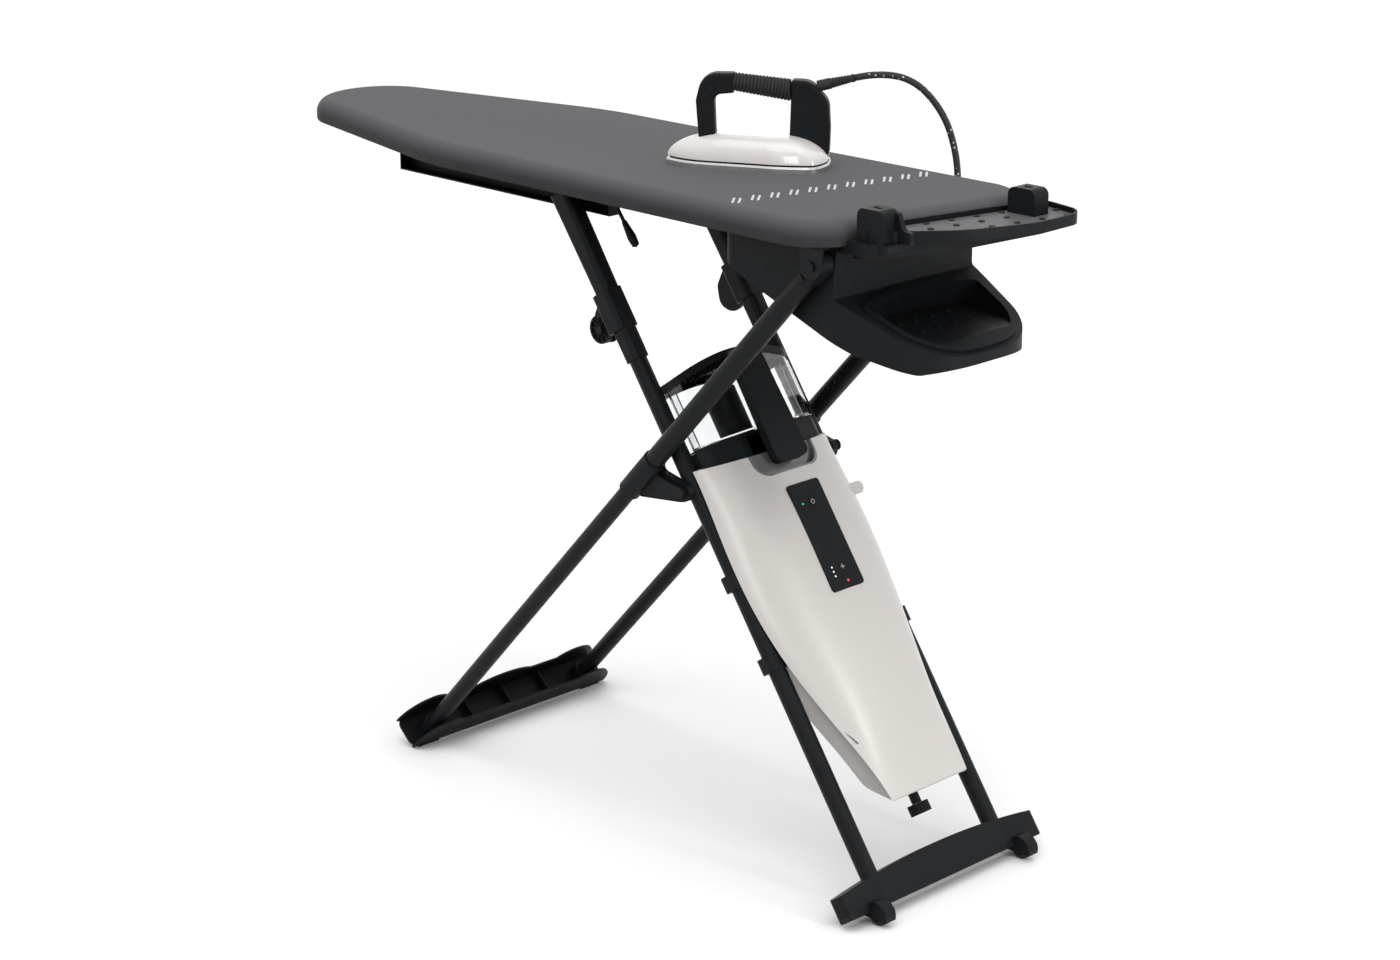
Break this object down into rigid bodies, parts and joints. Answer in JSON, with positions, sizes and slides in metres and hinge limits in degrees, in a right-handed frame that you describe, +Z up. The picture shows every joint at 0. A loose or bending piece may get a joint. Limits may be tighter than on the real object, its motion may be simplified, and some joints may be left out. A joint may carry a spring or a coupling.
{
  "type": "ironing system",
  "caption": "Folding ironing board with a padded cover, crossed legs, an iron on its cord, an iron rest and a steam generator with a lift-off water tank.",
  "frame": {"origin": "middle of the footprint, on the floor", "axes": "+X along the board towards the iron rest, +Y across the board, +Z up"},
  "size_m": [1.3126, 0.394, 1.0569],
  "materials": {
    "cover_cloth": "woven cloth",
    "black_plastic": "fine texture",
    "black_paint": "satin",
    "shell_plastic": "satin lacquer",
    "cream_plastic": "gloss",
    "steel": "brushed",
    "sole_metal": "polished",
    "rubber": "matt",
    "clear_plastic": "clear",
    "recess_plastic": "smoked",
    "cord_braid": "braided",
    "dish_plastic": "smooth",
    "lamp": "clear lens"
  },
  "bodies": {
    "board": {"board_cover": "cover_cloth", "board_deck": "black_paint", "slide_rails": "black_paint", "pivot_brackets": "black_paint", "leg_a_pivot_pins": "black_paint", "housing_shell": "black_plastic", "storage_basin": "dish_plastic", "fan_motor": "steel", "lever_block": "black_plastic", "rest_ears": "black_plastic", "rest_nubs": "rubber", "rest_tray": "black_plastic", "iron_sole": "sole_metal", "iron_shield": "black_plastic", "iron_cover": "cream_plastic", "iron_handle": "black_plastic", "iron_grip": "rubber", "iron_strain_relief": "rubber", "iron_cord": "cord_braid", "iron_cord_coil": "cord_braid", "cord_outlet": "black_plastic", "cord_tie": "rubber"},
    "fan": {"fan_rotor": "black_plastic"},
    "lever": {"lever_rod": "black_paint", "lever_grip": "black_plastic"},
    "steam_key": {"steam_button": "black_plastic"},
    "leg_a": {"leg_a_lower_tubes": "black_paint", "leg_a_upper_tubes": "black_paint", "leg_a_eyes": "black_plastic", "coupling_sleeves": "black_plastic", "crossing_pins": "black_paint", "foot_a_channel": "black_plastic", "foot_a_pads": "rubber"},
    "leg_b": {"leg_b_tubes": "black_paint", "leg_b_upper_sleeves": "black_plastic", "slider_pins": "black_plastic", "wheel_brackets": "black_plastic", "wheel_axles": "black_paint", "foot_b_beam": "black_plastic", "generator_front": "shell_plastic", "generator_back": "shell_plastic", "handle_recess": "recess_plastic", "tank_base": "black_plastic", "control_panel": "black_plastic", "panel_lights": "lamp", "boiler": "black_paint", "pump": "black_plastic", "mounting_clips": "black_plastic"},
    "tank": {"tank_shell": "clear_plastic", "tank_lid": "black_plastic", "tank_handle": "black_plastic", "tank_filter": "black_plastic"},
    "power_key": {"power_button": "black_plastic"},
    "fan_key": {"fan_button": "black_plastic"},
    "side_dial": {"side_knob": "shell_plastic"},
    "drain_cap": {"drain_knob": "black_plastic"},
    "wheel_near": {"transport_wheel_near": "black_plastic"},
    "wheel_far": {"transport_wheel_far": "black_plastic"},
    "caster_near": {"caster_wheel_near": "rubber"},
    "caster_far": {"caster_wheel_far": "rubber"}
  },
  "joints": [
    {"name": "leg_fold", "type": "hinge", "parent": "board", "child": "leg_a", "pos_m": [0.47574, 0, 0.868], "axis": [0, 1, 0], "range_deg": [0, 40]},
    {"name": "leg_cross", "type": "hinge", "parent": "leg_a", "child": "leg_b", "pos_m": [0.22824, 0, 0.51256], "axis": [0, 1, 0], "range_deg": [-80, 0]},
    {"name": "lever_swing", "type": "hinge", "parent": "board", "child": "lever", "pos_m": [0.06574, -0.118, 0.882], "axis": [0, 1, 0], "range_deg": [-12, 12]},
    {"name": "fan_spin", "type": "hinge", "parent": "board", "child": "fan", "pos_m": [0.38874, 0, 0.846], "axis": [0, 0, 1], "continuous": true},
    {"name": "steam_press", "type": "slide", "parent": "board", "child": "steam_key", "axis": [-0.6157, 0.788, 0], "range_m": [0, 0.0015], "stiffness_N_per_m": 400, "springref_m": -0.002},
    {"name": "tank_lift", "type": "slide", "parent": "leg_b", "child": "tank", "axis": [-0.5714, 0, 0.8206], "range_m": [0, 0.075]},
    {"name": "power_press", "type": "slide", "parent": "leg_b", "child": "power_key", "axis": [-0.8206, 0, -0.5714], "range_m": [0, 0.001], "stiffness_N_per_m": 400, "springref_m": -0.002},
    {"name": "fan_press", "type": "slide", "parent": "leg_b", "child": "fan_key", "axis": [-0.8206, 0, -0.5714], "range_m": [0, 0.001], "stiffness_N_per_m": 400, "springref_m": -0.002},
    {"name": "dial_turn", "type": "hinge", "parent": "leg_b", "child": "side_dial", "pos_m": [0.28843, 0, 0.46811], "axis": [0, 1, 0], "range_deg": [-60, 60]},
    {"name": "drain_turn", "type": "hinge", "parent": "leg_b", "child": "drain_cap", "pos_m": [0.53459, 0, 0.0936], "axis": [-0.5714, 0, 0.8206], "range_deg": [0, 270]},
    {"name": "wheel_near_spin", "type": "hinge", "parent": "leg_b", "child": "wheel_near", "pos_m": [0.05209, 0, 0.70078], "axis": [0, 1, 0], "continuous": true},
    {"name": "wheel_far_spin", "type": "hinge", "parent": "leg_b", "child": "wheel_far", "pos_m": [0.05209, 0, 0.70078], "axis": [0, 1, 0], "continuous": true},
    {"name": "caster_near_spin", "type": "hinge", "parent": "leg_b", "child": "caster_near", "pos_m": [0.59271, 0, 0.0145], "axis": [0, 1, 0], "continuous": true},
    {"name": "caster_far_spin", "type": "hinge", "parent": "leg_b", "child": "caster_far", "pos_m": [0.59271, 0, 0.0145], "axis": [0, 1, 0], "continuous": true}
  ],
  "couplings": [
    {"joint": "leg_cross", "follows": "leg_fold", "ratio": -2}
  ]
}
